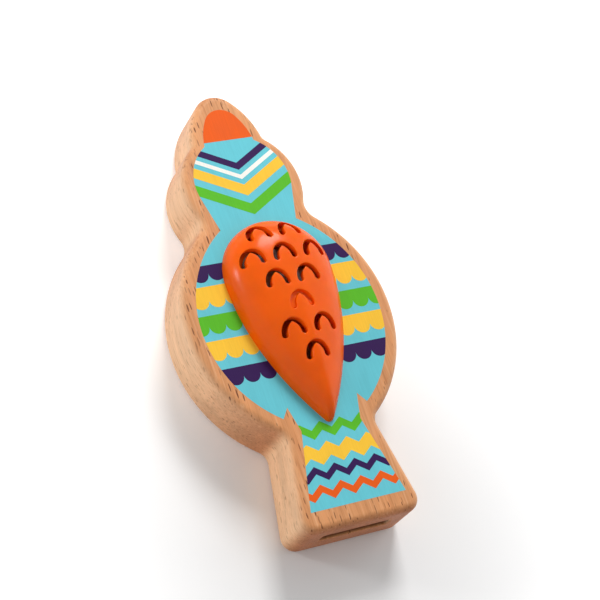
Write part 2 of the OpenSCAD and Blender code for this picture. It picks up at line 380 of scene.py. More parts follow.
def on_tail_line(p, offset, distance):
    """Point on a line beside the tail, at a distance from the centre of the body's side arc."""
    foot = p["normal"] * offset
    reach = foot - p["side"]
    b = reach.dot(p["along"])
    return foot + (-b + math.sqrt(b * b - reach.length_squared + distance * distance)) * p["along"]


def board_moves(board):
    """Right half of the board's outline, from the beak's tip to the middle of the tail's end."""
    p = board_points(board)
    beak_hollow = meet(
        p["beak"], p["beak_radius"] + board.beak_blend, p["head"], board.head_radius + board.beak_blend
    )
    neck_hollow = meet(
        p["head"], board.head_radius + board.neck_blend, p["side"], board.side_radius + board.neck_blend
    )
    tail_hollow = on_tail_line(p, p["tail_offset"] + board.tail_blend, board.side_radius + board.tail_blend)
    corner_y = p["tail_y"] + board.tail_corner
    corner_x = (p["tail_offset"] - board.tail_corner - p["normal"].y * corner_y) / p["normal"].x
    corner = Vector((corner_x, corner_y))
    tip_end = heading(p["beak"], p["tip"])
    beak_end = heading(p["beak"], beak_hollow)
    head_start = heading(p["head"], beak_hollow)
    head_end = heading(p["head"], neck_hollow)
    side_start = heading(p["side"], neck_hollow)
    side_end = heading(p["side"], tail_hollow)
    return [
        Arc(p["tip"], swing(math.pi / 2, tip_end, True)),
        Arc(p["beak"], swing(tip_end, beak_end, True)),
        Arc(beak_hollow, swing(beak_end + math.pi, head_start + math.pi, False)),
        Arc(p["head"], swing(head_start, head_end, True)),
        Arc(neck_hollow, swing(head_end + math.pi, side_start + math.pi, False)),
        Arc(p["side"], swing(side_start, side_end, True)),
        Arc(tail_hollow, swing(side_end + math.pi, p["slope"] + math.pi, False)),
        Line(corner + board.tail_corner * p["normal"]),
        Arc(corner, swing(p["slope"], -math.pi / 2, True)),
        Line((0, p["tail_y"])),
    ]


def print_moves(board, art):
    """Right half of the print's outline, from its top in the beak to the middle of the tail's end."""
    p = board_points(board)
    top = board.length / 2 - art.beak_top
    beak, beak_radius = p["beak"], p["beak_radius"] - art.beak_margin
    # The round top touches the beak's side arc from inside.
    gap = beak_radius - top
    tip = Vector((0, (beak.length_squared - gap * gap) / (2 * (gap + beak.y))))
    tip_end = heading(beak, tip)
    head = Vector((0, art.head_y))
    beak_corner = meet(beak, beak_radius, head, art.head_radius)
    neck = Vector((art.neck_width / 2, art.neck_y))
    # The head's arc runs out into a straight line that touches it and ends at the neck.
    leave = heading(head, neck) + math.acos(art.head_radius / (neck - head).length)
    side, side_radius = p["side"], board.side_radius - art.margin
    shoulder = heading(side, neck)
    wing_end = math.asin((art.wing_end_y - side.y) / side_radius)
    end_y = p["tail_y"] + art.tail_end_margin
    return [
        Arc(tip, swing(math.pi / 2, tip_end, True)),
        Arc(beak, swing(tip_end, heading(beak, beak_corner), True)),
        Arc(head, swing(heading(head, beak_corner), leave, True)),
        Line(side + side_radius * Vector((math.cos(shoulder), math.sin(shoulder)))),
        Arc(side, swing(shoulder, wing_end, True)),
        Line((art.notch_width / 2, art.notch_y)),
        Line((art.tail_root_width / 2, art.tail_root_y)),
        Line((art.tail_width / 2, end_y)),
        Line((0, end_y)),
    ]


def egg(name, board, inset, low, high):
    """Solid with the egg-shaped outline of the pocket, set inwards by a distance."""
    big = board.pocket_radius - inset
    small = board.pocket_end_radius - inset
    lean = math.asin((big - small) / (board.pocket_y - board.pocket_end_y))
    side = Vector((math.cos(lean), -math.sin(lean)))
    wide = Vector((0, board.pocket_y))
    narrow = Vector((0, board.pocket_end_y))
    moves = [
        Arc(wide, -math.pi - 2 * lean),
        Line(narrow + small * side),
        Arc(narrow, -math.pi + 2 * lean),
    ]
    start = wide + big * Vector((-side.x, side.y))
    piece = draw(name, start, moves + [Line(start)], POCKET_SPACING)
    return raise_solid(piece, low, high)


# Share of the cap's taper at which its small round tip begins
TIP_START = 0.965


def tip_shape(radius, taper):
    """Lean, radius and centre of the small round tip at the end of the cap's taper."""
    half_width = radius * (1 - TIP_START**2)
    lean = math.atan(2 * radius * TIP_START / taper)
    return lean, half_width / math.cos(lean), -taper * TIP_START + half_width * math.tan(lean)


def teardrop(cap, inset, steps=44, tip_steps=8):
    """Points of the cap's outline about its centre, counter-clockwise from its tip."""
    radius = cap.radius - inset
    taper = cap.taper - 2 * inset
    lean, tip_radius, tip_y = tip_shape(radius, taper)
    right = []
    for i in range(1, tip_steps + 1):
        angle = -math.pi / 2 + (math.pi / 2 - lean) * i / tip_steps
        right.append(Vector((tip_radius * math.cos(angle), tip_y + tip_radius * math.sin(angle))))
    for i in range(1, steps + 1):
        u = TIP_START * (1 - i / steps)
        right.append(Vector((radius * (1 - u * u), -taper * u)))
    for i in range(1, steps):
        angle = math.pi / 2 * i / steps
        right.append(radius * Vector((math.cos(angle), math.sin(angle))))
    left = [Vector((-v.x, v.y)) for v in reversed(right)]
    return [Vector((0, tip_y - tip_radius))] + right + [Vector((0, radius))] + left


def rim_share(cap, inset, point):
    """How far out a point lies on the cap: 0 at its middle and 1 on the outline."""
    radius = cap.radius - inset
    taper = cap.taper - 2 * inset
    x = abs(point.x)
    y = point.y - cap.centre_y
    if y >= 0:
        return math.hypot(x, y) / radius
    share = (x + math.hypot(x, 2 * radius * y / taper)) / (2 * radius)
    if -y <= TIP_START * share * taper:
        return share
    _, tip_radius, tip_y = tip_shape(radius, taper)
    power = tip_y**2 - tip_radius**2
    return (y * tip_y - math.sqrt((y * tip_y) ** 2 - power * (x * x + y * y))) / power


def dome_z(cap, inset, point, base):
    """Height of the dome, or of a dome inside it, over a point."""
    return base + (cap.height - inset) * math.sqrt(max(0.0, 1 - rim_share(cap, inset, point) ** 3))


# Shader node helpers

# Sockets of a colour Mix node
MIX_FACTOR = 0
MIX_FIRST = 6
MIX_SECOND = 7
MIX_RESULT = 2

# Outputs of a noise texture
NOISE_VALUE = 0
NOISE_COLOUR = 1

# Outputs of every shared effect
SURFACE = {"Color": "NodeSocketColor", "Roughness": "NodeSocketFloat", "Height": "NodeSocketFloat"}


def feed(tree, node, inputs):
    """Links sockets to a node's inputs, or sets plain values on them."""
    for name, value in inputs.items():
        if isinstance(value, bpy.types.NodeSocket):
            tree.links.new(value, node.inputs[name])
        else:
            node.inputs[name].default_value = value


def add(tree, kind, inputs=None, **settings):
    """New node with its settings and inputs."""
    node = tree.nodes.new(kind)
    for name, value in settings.items():
        setattr(node, name, value)
    feed(tree, node, inputs or {})
    return node


def calc(tree, operation, first, second=0.0, clamp=False):
    """Output of a Math node."""
    node = add(tree, "ShaderNodeMath", {0: first, 1: second}, operation=operation, use_clamp=clamp)
    return node.outputs[0]


def blend(tree, factor, first, second, mode="MIX"):
    """Output of a colour Mix node."""
    inputs = {MIX_FACTOR: factor, MIX_FIRST: first, MIX_SECOND: second}
    return add(tree, "ShaderNodeMix", inputs, data_type="RGBA", blend_type=mode).outputs[MIX_RESULT]


def shaded(tree, base, shade):
    """Colour multiplied by a value."""
    tone = add(tree, "ShaderNodeCombineColor", {0: shade, 1: shade, 2: shade}).outputs[0]
    return blend(tree, 1.0, base, tone, "MULTIPLY")


def spread(tree, value, low, high, to_low=0.0, to_high=1.0):
    """Output of a smooth Map Range node."""
    inputs = {"Value": value, "From Min": low, "From Max": high, "To Min": to_low, "To Max": to_high}
    return add(tree, "ShaderNodeMapRange", inputs, interpolation_type="SMOOTHSTEP").outputs[0]


def stretched(tree, cells, shift=0.0, output=NOISE_VALUE, **inputs):
    """Noise on object coordinates, with a number of cells per metre along each axis."""
    place = add(tree, "ShaderNodeTexCoord").outputs["Object"]
    mapping = {"Vector": place, "Scale": cells, "Location": (shift, shift, shift)}
    mapped = add(tree, "ShaderNodeMapping", mapping).outputs[0]
    return add(tree, "ShaderNodeTexNoise", {"Vector": mapped, "Scale": 1.0, **inputs}).outputs[output]


def rgba(value):
    """Colour with full alpha."""
    return (*value, 1.0)


def new_group(name, **inputs):
    """Shader node group with its sockets, and the sockets that its inputs arrive on."""
    tree = bpy.data.node_groups.new(name, "ShaderNodeTree")
    for label, value in inputs.items():
        kind = "NodeSocketFloat" if isinstance(value, float) else "NodeSocketColor"
        tree.interface.new_socket(label, in_out="INPUT", socket_type=kind).default_value = value
    for label, kind in SURFACE.items():
        tree.interface.new_socket(label, in_out="OUTPUT", socket_type=kind)
    return tree, add(tree, "NodeGroupInput").outputs


def new_material(name):
    """Material with only an output and a Principled shader."""
    material = bpy.data.materials.new(name)
    material.use_nodes = True
    tree = material.node_tree
    tree.nodes.clear()
    shader = add(tree, "ShaderNodeBsdfPrincipled")
    add(tree, "ShaderNodeOutputMaterial", {"Surface": shader.outputs[0]})
    return material, tree, shader


def add_bump(tree, shader, height, strength, distance):
    """Bump from a height, on the shader's Normal."""
    bump = add(tree, "ShaderNodeBump", {"Height": height, "Strength": strength, "Distance": distance})
    feed(tree, shader, {"Normal": bump.outputs[0]})


# Shared effects

# Ranges that most of a noise's values, and of the fibres', lie in
NOISE_RANGE = (0.3, 0.7)
FIBRE_RANGE = (0.25, 0.75)

# Cells per metre, along each axis, of the beech's growth bands, grain lines and fibres, and the lines' tint
BAND_CELLS = (240, 8, 170)
GRAIN_CELLS = (1500, 32, 1500)
FIBRE_CELLS = (3600, 110, 3600)
GRAIN_TINT = (0.72, 0.6, 0.5, 1.0)

# Rays of the wood: cells per metre, shift of the pattern, range of the patches' noise in which they grow,
# their least and greatest reach within a cell, and the share of their darkness that is left on the walls
Rays = namedtuple("Rays", "cells shift patchy reach on_walls")
SHORT_RAYS = Rays((1150, 170, 900), 8.1, (0.34, 0.6), (0.1, 0.29), 0.42)
LONG_RAYS = Rays((900, 62, 150), 2.9, (0.45, 0.66), (0.02, 0.2), 0.2)

# Patches that are rich in rays, and how the rays stray from straight rows: cells per metre, and distance
PATCH_CELLS = (130, 26, 130)
STRAY_CELLS = (500, 160, 300)
STRAY = (0.5 * MM, 1.2 * MM, 0.8 * MM)

# Painted shade in the mouth channel: how far its mask reaches into its walls, and how dark it makes them
CHANNEL_MARGIN = 0.1 * MM
CHANNEL_SHADE = 0.85

# Cells per metre, along each axis, of the ink's fibres and mottling, the plastic's clouds and skin, and the
# film's ripples
INK_FIBRE_CELLS = (2200, 80, 2200)
MOTTLE_CELLS = (160, 90, 160)
CLOUD_CELLS = (110, 110, 110)
SKIN_CELLS = (2400, 2400, 2400)
RIPPLE_CELLS = (260, 90, 90)


def beech_group(name):
    """Beech along Y: bands, grain lines, fibres and dark rays, with sides paled as a painted sheen and
    painted shade in the mouth channel.
    """
    tree, given = new_group(name, Face=WHITE, Side=WHITE, End=WHITE, Fleck=BLACK)
    coordinates = add(tree, "ShaderNodeTexCoord").outputs
    facing = add(tree, "ShaderNodeSeparateXYZ", {0: coordinates["Normal"]}).outputs
    side = calc(tree, "MULTIPLY", facing["X"], facing["X"])
    end = calc(tree, "MULTIPLY", facing["Y"], facing["Y"])
    # Faces along X take the side colour, a painted sheen
    wood = blend(tree, side, given["Face"], given["Side"])
    # Faces along Y take the end colour: end grain, darkened further as painted shade
    wood = blend(tree, end, wood, given["End"])

    bands = stretched(tree, BAND_CELLS, Detail=4.0, Roughness=0.55, Distortion=0.25)
    lines = stretched(tree, GRAIN_CELLS, shift=1.3, Detail=2.0, Distortion=0.3)
    fibres = stretched(tree, FIBRE_CELLS, Detail=3.0, Roughness=0.7)
    band_shade = spread(tree, bands, *NOISE_RANGE, 1.07, 0.88)
    fibre_shade = spread(tree, fibres, *FIBRE_RANGE, 0.92, 1.06)
    wood = shaded(tree, wood, calc(tree, "MULTIPLY", band_shade, fibre_shade))
    browned = blend(tree, 1.0, wood, GRAIN_TINT, "MULTIPLY")
    wood = blend(tree, spread(tree, lines, 0.5, 0.74, 0.0, 0.6), wood, browned)
    paled = blend(tree, 0.35, wood, given["Side"])
    wood = blend(tree, spread(tree, lines, 0.44, 0.26, 0.0, 0.8), wood, paled)

    on_wall = calc(tree, "ADD", side, end)
    short_rays = ray_mask(tree, SHORT_RAYS, on_wall)
    long_rays = ray_mask(tree, LONG_RAYS, on_wall)
    rays = calc(tree, "MAXIMUM", short_rays, long_rays)
    wood = blend(tree, rays, wood, given["Fleck"])
    # Painted shade on the walls of the mouth channel, in the fleck colour
    wood = blend(tree, channel_shade_mask(tree, coordinates["Object"]), wood, given["Fleck"])

    rough = calc(tree, "ADD", spread(tree, fibres, 0.2, 0.8, 0.44, 0.56), calc(tree, "MULTIPLY", rays, 0.15))
    height = calc(tree, "ADD", calc(tree, "MULTIPLY", fibres, 0.4), calc(tree, "MULTIPLY", lines, -0.3))
    height = calc(tree, "SUBTRACT", height, rays)
    add(tree, "NodeGroupOutput", {"Color": wood, "Roughness": rough, "Height": height})
    return tree


def ray_mask(tree, rays, on_wall):
    """Mask of the wood's rays: thin plates, larger in some patches and fainter on the walls."""
    stray = stretched(tree, STRAY_CELLS, rays.shift, NOISE_COLOUR, Detail=2.0)
    stray = add(tree, "ShaderNodeVectorMath", {0: stray, 1: STRAY}, operation="MULTIPLY").outputs[0]
    place = add(tree, "ShaderNodeTexCoord").outputs["Object"]
    moved = add(tree, "ShaderNodeVectorMath", {0: place, 1: stray}, operation="ADD").outputs[0]
    mapped = add(tree, "ShaderNodeMapping", {"Vector": moved, "Scale": rays.cells}).outputs[0]
    plates = add(tree, "ShaderNodeTexVoronoi", {"Vector": mapped, "Scale": 1.0, "Randomness": 1.0}).outputs
    patches = stretched(tree, PATCH_CELLS, rays.shift, Detail=2.0)
    reach_here = spread(tree, patches, *rays.patchy, *rays.reach)
    mask = spread(tree, calc(tree, "SUBTRACT", reach_here, plates["Distance"]), 0.0, 0.06)
    chance = add(tree, "ShaderNodeSeparateColor", {0: plates["Color"]}).outputs[0]
    mask = calc(tree, "MULTIPLY", mask, spread(tree, chance, 0.0, 1.0, 0.25, 0.95))
    return calc(tree, "MULTIPLY", mask, spread(tree, on_wall, 0.2, 0.9, 1.0, rays.on_walls))


def channel_shade_mask(tree, place):
    """Mask of the painted shade on the walls of the mouth channel, from just inside the tail's end."""
    board = bpy.context.scene.kazoo_board
    at = add(tree, "ShaderNodeSeparateXYZ", {0: place}).outputs
    depth = calc(tree, "ADD", at["Y"], board.length / 2)
    off_middle = calc(tree, "ABSOLUTE", calc(tree, "SUBTRACT", at["Z"], board.mouth_z))
    mask = spread(tree, depth, 0.0, 3 * board.mouth_easing, 0.0, CHANNEL_SHADE)
    for distance, limit in (
        (depth, board.mouth_depth + MM),
        (calc(tree, "ABSOLUTE", at["X"]), board.mouth_width / 2 + CHANNEL_MARGIN),
        (off_middle, board.mouth_height / 2 + CHANNEL_MARGIN),
    ):
        mask = calc(tree, "MULTIPLY", mask, calc(tree, "LESS_THAN", distance, limit))
    return mask


def ink_group(name):
    """Printed ink: slight mottling, with the wood's fibres showing through."""
    tree, given = new_group(name, Ink=WHITE)
    fibres = stretched(tree, INK_FIBRE_CELLS, Detail=3.0, Roughness=0.65)
    mottle = stretched(tree, MOTTLE_CELLS, Detail=4.0)
    fibre_shade = spread(tree, fibres, *FIBRE_RANGE, 0.95, 1.02)
    shade = calc(tree, "ADD", fibre_shade, spread(tree, mottle, *NOISE_RANGE, -0.03, 0.03))
    ink = shaded(tree, given["Ink"], shade)
    rough = spread(tree, mottle, *NOISE_RANGE, 0.46, 0.58)
    add(tree, "NodeGroupOutput", {"Color": ink, "Roughness": rough, "Height": fibres})
    return tree


def moulded_group(name):
    """Moulded plastic: faint clouding, a fine spark-eroded skin and slow unevenness."""
    tree, given = new_group(name, Plastic=WHITE, Gloss=0.35)
    cloud = stretched(tree, CLOUD_CELLS, Detail=3.0)
    skin = stretched(tree, SKIN_CELLS, Detail=2.0)
    plastic = shaded(tree, given["Plastic"], spread(tree, cloud, *NOISE_RANGE, 0.94, 1.03))
    rough = calc(tree, "ADD", given["Gloss"], spread(tree, cloud, *NOISE_RANGE, -0.03, 0.05))
    height = calc(tree, "ADD", skin, calc(tree, "MULTIPLY", cloud, 2.0))
    add(tree, "NodeGroupOutput", {"Color": plastic, "Roughness": rough, "Height": height})
    return tree


# Materials

def effect_material(name, effect, build, inputs, bump, depth, specular):
    """Material of one shared effect, which is built when it is first asked for."""
    material, tree, shader = new_material(name)
    shared = bpy.data.node_groups.get(effect) or build(effect)
    surface = add(tree, "ShaderNodeGroup", inputs, node_tree=shared).outputs
    feed(tree, shader, {"Base Color": surface["Color"], "Roughness": surface["Roughness"]})
    feed(tree, shader, {"Specular IOR Level": specular})
    add_bump(tree, shader, surface["Height"], bump, depth)
    return material, tree, shader


def beech_material(finish):
    """Solid beech with a thin satin varnish."""
    inputs = {
        "Face": rgba(finish.beech_face),
        "Side": rgba(finish.beech_side_sheen),
        "End": rgba(finish.beech_end_grain_and_shade),
        "Fleck": rgba(finish.beech_fleck_and_channel_shade),
    }
    material, _, _ = effect_material(
        "beech", "beech grain", beech_group, inputs, bump=0.25, depth=0.12 * MM, specular=0.25
    )
    return material


def ink_material(name, ink):
    """One printed colour."""
    inputs = {"Ink": rgba(ink)}
    material, _, _ = effect_material(
        name, "printed ink", ink_group, inputs, bump=0.12, depth=0.08 * MM, specular=0.1
    )
    return material


def orange_plastic(finish):
    """The plastic of cap, plate and ring, made once. It lets a little light through."""
    name = "orange plastic"
    found = bpy.data.materials.get(name)
    if found:
        return found
    inputs = {"Plastic": rgba(finish.cap), "Gloss": 0.21}
    material, tree, shader = effect_material(
        name, "moulded plastic", moulded_group, inputs, bump=0.1, depth=0.06 * MM, specular=0.14
    )
    light_inside = {
        "Subsurface Weight": 0.4,
        "Subsurface Radius": (1.0, 0.3, 0.1),
        "Subsurface Scale": 1.8 * MM,
    }
    feed(tree, shader, light_inside)
    return material


def film_material(finish):
    """Clear film with faint ripples from being stretched."""
    material, tree, shader = new_material("clear film")
    ripple = stretched(tree, RIPPLE_CELLS, Detail=2.0)
    add_bump(tree, shader, ripple, strength=0.4, distance=0.4 * MM)
    tint = spread(tree, ripple, *NOISE_RANGE, 0.9, 1.0)
    clear = {
        "Base Color": shaded(tree, rgba(finish.film), tint),
        "Roughness": spread(tree, ripple, *NOISE_RANGE, 0.08, 0.16),
        "Transmission Weight": 1.0,
        "Specular IOR Level": 0.25,
        "IOR": 1.45,
    }
    feed(tree, shader, clear)
    return material


# Pieces

class KAZOO_OT_board(bpy.types.Operator):
    """Beech board with rounded edges, mouth slot, breath chamber and pocket"""

    bl_idname = "kazoo.board"
    bl_label = "Beech board"

    def execute(self, context):
        board = context.scene.kazoo_board
        piece = draw("beech_board", (0, board.length / 2), board_moves(board), BOARD_SPACING)
        mirror_over(piece)
        raise_solid(piece, 0, board.thickness)
        bevel_edges(piece, is_level, board.edge_radius, EDGE_STEPS)
        chamber = egg("chamber", board, board.ledge, board.chamber_z, board.ledge_z + MM)
        combine(piece, chamber, "DIFFERENCE")
        combine(piece, mouth_channel(board), "DIFFERENCE")
        pocket = egg("pocket", board, 0, board.ledge_z, board.thickness + MM)
        combine(piece, pocket, "DIFFERENCE")
        bevel_edges(piece, lambda edge: on_mouth_rim(edge, board), board.mouth_easing, MOUTH_RIM_STEPS)
        smooth(piece, BOARD_SMOOTH)
        dress(piece, beech_material(context.scene.kazoo_finish))
        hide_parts("body_block")
        return {"FINISHED"}


# Least share along an axis for an edge or a normal to count as lying along it
ALONG = 0.9


def is_level(edge):
    """True for an edge that runs level."""
    return abs(edge.verts[0].co.z - edge.verts[1].co.z) < WELD


def on_mouth_rim(edge, board):
    """True for an edge of the slot in the tail's end."""
    reach = Vector((board.mouth_width / 2 + WELD, WELD, board.mouth_height / 2 + WELD))
    middle = Vector((0, -board.length / 2, board.mouth_z))
    within = all(
        abs(offset) <= limit for vertex in edge.verts for offset, limit in zip(vertex.co - middle, reach)
    )
    on_end = sum(abs(face.normal.y) > ALONG for face in edge.link_faces)
    return within and on_end == 1


def mouth_channel(board):
    """Cutter for the flat channel that leads from the tail's end to the chamber."""
    past = 2 * MM
    size_y = board.mouth_depth + past
    middle_y = -board.length / 2 - past + size_y / 2
    bpy.ops.object.select_all(action="DESELECT")
    bpy.ops.mesh.primitive_cube_add(size=1, location=(0, middle_y, board.mouth_z))
    cutter = bpy.context.object
    cutter.scale = (board.mouth_width, size_y, board.mouth_height)
    bpy.ops.object.transform_apply(location=True, rotation=True, scale=True)
    bevel_edges(cutter, runs_along_y, board.mouth_corner, MOUTH_CORNER_STEPS)
    return cutter


def runs_along_y(edge):
    """True for an edge along Y."""
    step = edge.verts[1].co - edge.verts[0].co
    return abs(step.y) > ALONG * step.length


# Row of the one slot that is only a groove
GROOVE_ROW = 3

# Steps along each edge of a slot's leg, and round its foot
LEG_STEPS = 16
FOOT_STEPS = 10

# Rings of points round a slot, as shares of the lip's width
LIP_STEPS = (0.0, 0.08, 0.2, 0.4, 0.68, 1.0)

# Rings of points in the groove: how far inside its outline, and how far above its bottom
GROOVE_RINGS = ((0.12 * MM, 0.12 * MM), (0.3 * MM, 0.0))

# Rim of the dome below the slots: the angle that it covers, and its rings
RIM_ANGLE = math.radians(28)
RIM_RINGS = 9

# Points between the slots: their spacing, gap to the lips, and least gap to the rim as a share of the cap
FILL_SPACING = 0.85 * MM
FILL_GAP = 0.4 * MM
FILL_MARGIN = 0.03

# Triangulation: kind of result, only the inside of the border, and the distance at which points are one
INSIDE_ONLY = 1
SAME_POINT = 1e-9

# Hidden top of the skirt above the board, and steps along the rib
SKIRT_TOP = 2.6 * MM
RIB_STEPS = 48


def slot_places(cap):
    """Where each feather slot stands, and whether it is only a groove."""
    half = cap.column_pitch / 2
    rows = [(-half, half), (-2 * half, 0, 2 * half), (-half, half), (0,), (-half, half), (0,)]
    for row, columns in enumerate(rows):
        for x in columns:
            yield Vector((x, cap.first_row - row * cap.row_pitch)), row == GROOVE_ROW


def feather(cap, grow):
    """Outline of a feather slot about the middle of its feet, widened all round by a distance."""
    flap_radius = (cap.flap_reach**2 + cap.flap_rise**2) / (2 * cap.flap_reach)
    centre_x = flap_radius - cap.flap_reach
    leg_x = (cap.slot_reach + cap.flap_reach) / 2
    half = (cap.slot_reach - cap.flap_reach) / 2 + grow

    def foot(x):
        """Round foot of a leg, between its two edges."""
        angles = [-math.pi * i / FOOT_STEPS for i in range(1, FOOT_STEPS)]
        return [Vector((x + half * math.cos(a), half * math.sin(a))) for a in angles]

    reach = cap.slot_reach + grow
    rise = cap.slot_rise + grow
    over = [math.pi * (1 - i / (2 * LEG_STEPS)) for i in range(2 * LEG_STEPS + 1)]
    outer = [Vector((reach * math.cos(a), rise * math.sin(a))) for a in over]
    radius = flap_radius - grow
    peak = math.acos(centre_x / radius)
    up = [peak * i / LEG_STEPS for i in range(LEG_STEPS + 1)]
    flap = [Vector((radius * math.cos(a) - centre_x, radius * math.sin(a))) for a in up]
    mirrored = [Vector((-v.x, v.y)) for v in flap[-2::-1]]
    return outer + foot(leg_x) + flap + mirrored + foot(-leg_x)


def inside(point, ring):
    """True if a point lies inside a closed ring."""
    found = False
    for a, b in zip(ring, ring[1:] + ring[:1]):
        if (a.y > point.y) != (b.y > point.y):
            if point.x < a.x + (point.y - a.y) * (b.x - a.x) / (b.y - a.y):
                found = not found
    return found


class KAZOO_OT_cap(bpy.types.Operator):
    """Domed grille cap: a skin lifted to the dome, with soft lips round its feather slots"""

    bl_idname = "kazoo.cap"
    bl_label = "Grille cap"

    def execute(self, context):
        cap = context.scene.kazoo_cap
        board = context.scene.kazoo_board
        finish = context.scene.kazoo_finish
        piece = cap_shell(cap, board.thickness)
        combine(piece, cap_skirt(cap, board), "UNION")
        combine(piece, cap_rib(cap, board), "UNION")
        smooth(piece, CAP_SMOOTH, weighted=False)
        dress(piece, orange_plastic(finish))
        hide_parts("grille_cap")
        return {"FINISHED"}


def cap_sheet(cap):
    """Flat plan of the cap inside its rim: points, how far each sinks under the dome, triangles, border."""
    share = math.cos(RIM_ANGLE) ** (2 / 3)
    centre = Vector((0, cap.centre_y))
    border = [centre + share * v for v in teardrop(cap, 0)]
    points = []
    sinks = []
    edges = []
    holes = []
    keep_off = []

    def add_ring(ring, sink):
        """Adds a closed ring of points that all sink as far."""
        first = len(points)
        points.extend(ring)
        sinks.extend([sink] * len(ring))
        edges.extend((first + i, first + (i + 1) % len(ring)) for i in range(len(ring)))

    def slot_ring(foot, grow):
        """Outline of the slot at a place, widened by a distance."""
        return [foot + v for v in feather(cap, grow)]

    add_ring(border, 0.0)
    for foot, is_groove in slot_places(cap):
        for step in LIP_STEPS:
            drop = cap.lip * (1 - math.sqrt(1 - (1 - step) ** 2))
            add_ring(slot_ring(foot, step * cap.lip), drop)
        if is_groove:
            for inwards, above in GROOVE_RINGS:
                add_ring(slot_ring(foot, -inwards), cap.groove_depth - above)
        else:
            holes.append(slot_ring(foot, 0))
        keep_off.append(slot_ring(foot, cap.lip + FILL_GAP))

    row_step = FILL_SPACING * math.sqrt(3) / 2
    rows = math.ceil((cap.radius + cap.taper) / row_step)
    columns = math.ceil(2 * cap.radius / FILL_SPACING)
    for row in range(rows):
        y = cap.centre_y + cap.radius - row * row_step
        for column in range(columns + 1):
            point = Vector(((column + 0.5 * (row % 2) - columns / 2) * FILL_SPACING, y))
            on_sheet = rim_share(cap, 0, point) < share - FILL_MARGIN
            if on_sheet and not any(inside(point, ring) for ring in keep_off):
                points.append(point)
                sinks.append(0.0)
    plan, _, triangles, origin, _, _ = delaunay_2d_cdt(points, edges, [], INSIDE_ONLY, SAME_POINT)
    sink = [max((sinks[i] for i in sources), default=0.0) for sources in origin]
    middle = [(plan[a] + plan[b] + plan[c]) / 3 for a, b, c in triangles]
    triangles = [t for t, m in zip(triangles, middle) if not any(inside(m, hole) for hole in holes)]
    place_in_plan = {source: index for index, sources in enumerate(origin) for source in sources}
    return plan, sink, triangles, [place_in_plan[i] for i in range(len(border))]


def cap_shell(cap, base):
    """Closed shell of the cap: its sheet lifted to the dome and to the wall's inside, with rim and walls."""
    plan, sink, triangles, border = cap_sheet(cap)
    mesh = bmesh.new()
    top = [mesh.verts.new((v.x, v.y, dome_z(cap, 0, v, base) - s)) for v, s in zip(plan, sink)]
    under = [mesh.verts.new((v.x, v.y, dome_z(cap, cap.wall, v, base))) for v in plan]
    for triangle in triangles:
        mesh.faces.new([top[i] for i in triangle])
        mesh.faces.new([under[i] for i in reversed(triangle)])
    sides = [side for t in triangles for side in zip(t, t[1:] + t[:1])]
    known = set(sides)
    on_border = set(border)
    for a, b in sides:
        if (b, a) not in known and not (a in on_border and b in on_border):
            mesh.faces.new((top[b], top[a], under[a], under[b]))
    ring = [top[i] for i in border]
    outline = teardrop(cap, 0)
    for step in range(1, RIM_RINGS + 1):
        angle = RIM_ANGLE * (1 - step / RIM_RINGS)
        share = math.cos(angle) ** (2 / 3)
        z = base + cap.height * math.sin(angle)
        below = [mesh.verts.new((share * v.x, cap.centre_y + share * v.y, z)) for v in outline]
        bridge(mesh, ring, below)
        ring = below
    bridge(mesh, ring, [under[i] for i in border])
    used = {v for face in mesh.faces for v in face.verts}
    for vertex in [v for v in mesh.verts if v not in used]:
        mesh.verts.remove(vertex)
    bmesh.ops.recalc_face_normals(mesh, faces=mesh.faces)
    return new_piece("grille_cap_moulded", mesh)


def new_piece(name, mesh):
    """Object made of a bmesh, which is used up."""
    data = bpy.data.meshes.new(name)
    mesh.to_mesh(data)
    mesh.free()
    piece = bpy.data.objects.new(name, data)
    bpy.context.scene.collection.objects.link(piece)
    return piece


def bridge(mesh, first, second):
    """Quads between two rings of as many vertices."""
    count = len(first)
    for i in range(count):
        j = (i + 1) % count
        mesh.faces.new((first[i], first[j], second[j], second[i]))


def cap_skirt(cap, board):
    """Skirt under the cap that plugs into the board's pocket."""
    top = board.thickness + SKIRT_TOP
    skirt = egg("skirt", board, cap.skirt_play, cap.skirt_low, top)
    hollow = egg("hollow", board, cap.skirt_play + cap.skirt_wall, cap.skirt_low - MM, top + MM)
    combine(skirt, hollow, "DIFFERENCE")
    return skirt


def cap_rib(cap, board):
    """Rib across the cap under the groove, from the skirt's lower end to the middle of the dome's wall."""
    xs = [cap.radius * (2 * i / RIB_STEPS - 1) for i in range(RIB_STEPS + 1)]
    mesh = bmesh.new()

    def profile(y):
        """Ring of vertices across the cap at one Y: along the lower edge and back along the dome."""
        heights = [dome_z(cap, cap.wall / 2, Vector((x, y)), board.thickness) for x in xs]
        low = [mesh.verts.new((x, y, cap.skirt_low)) for x in xs]
        high = [mesh.verts.new((x, y, z)) for x, z in zip(xs, heights)]
        for i in range(RIB_STEPS):
            mesh.faces.new((low[i], low[i + 1], high[i + 1], high[i]))
        return low + high[::-1]

    bridge(mesh, profile(cap.rib_y), profile(cap.rib_y + cap.rib_wall))
    bmesh.ops.recalc_face_normals(mesh, faces=mesh.faces)
    rib = new_piece("rib", mesh)
    inset = cap.skirt_play + cap.skirt_wall / 2
    ends = egg("rib_ends", board, inset, cap.skirt_low - MM, board.thickness + 2 * cap.height)
    combine(rib, ends, "INTERSECT")
    return rib


# Inks of the print, each with its colour among the settings
INKS = ("sky", "green", "yellow", "navy", "orange", "white")

# How far the print runs in under the cap, and how far its tool reaches above and below the board's front
UNDER_CAP = 0.8 * MM
AREA_REACH = 2 * MM


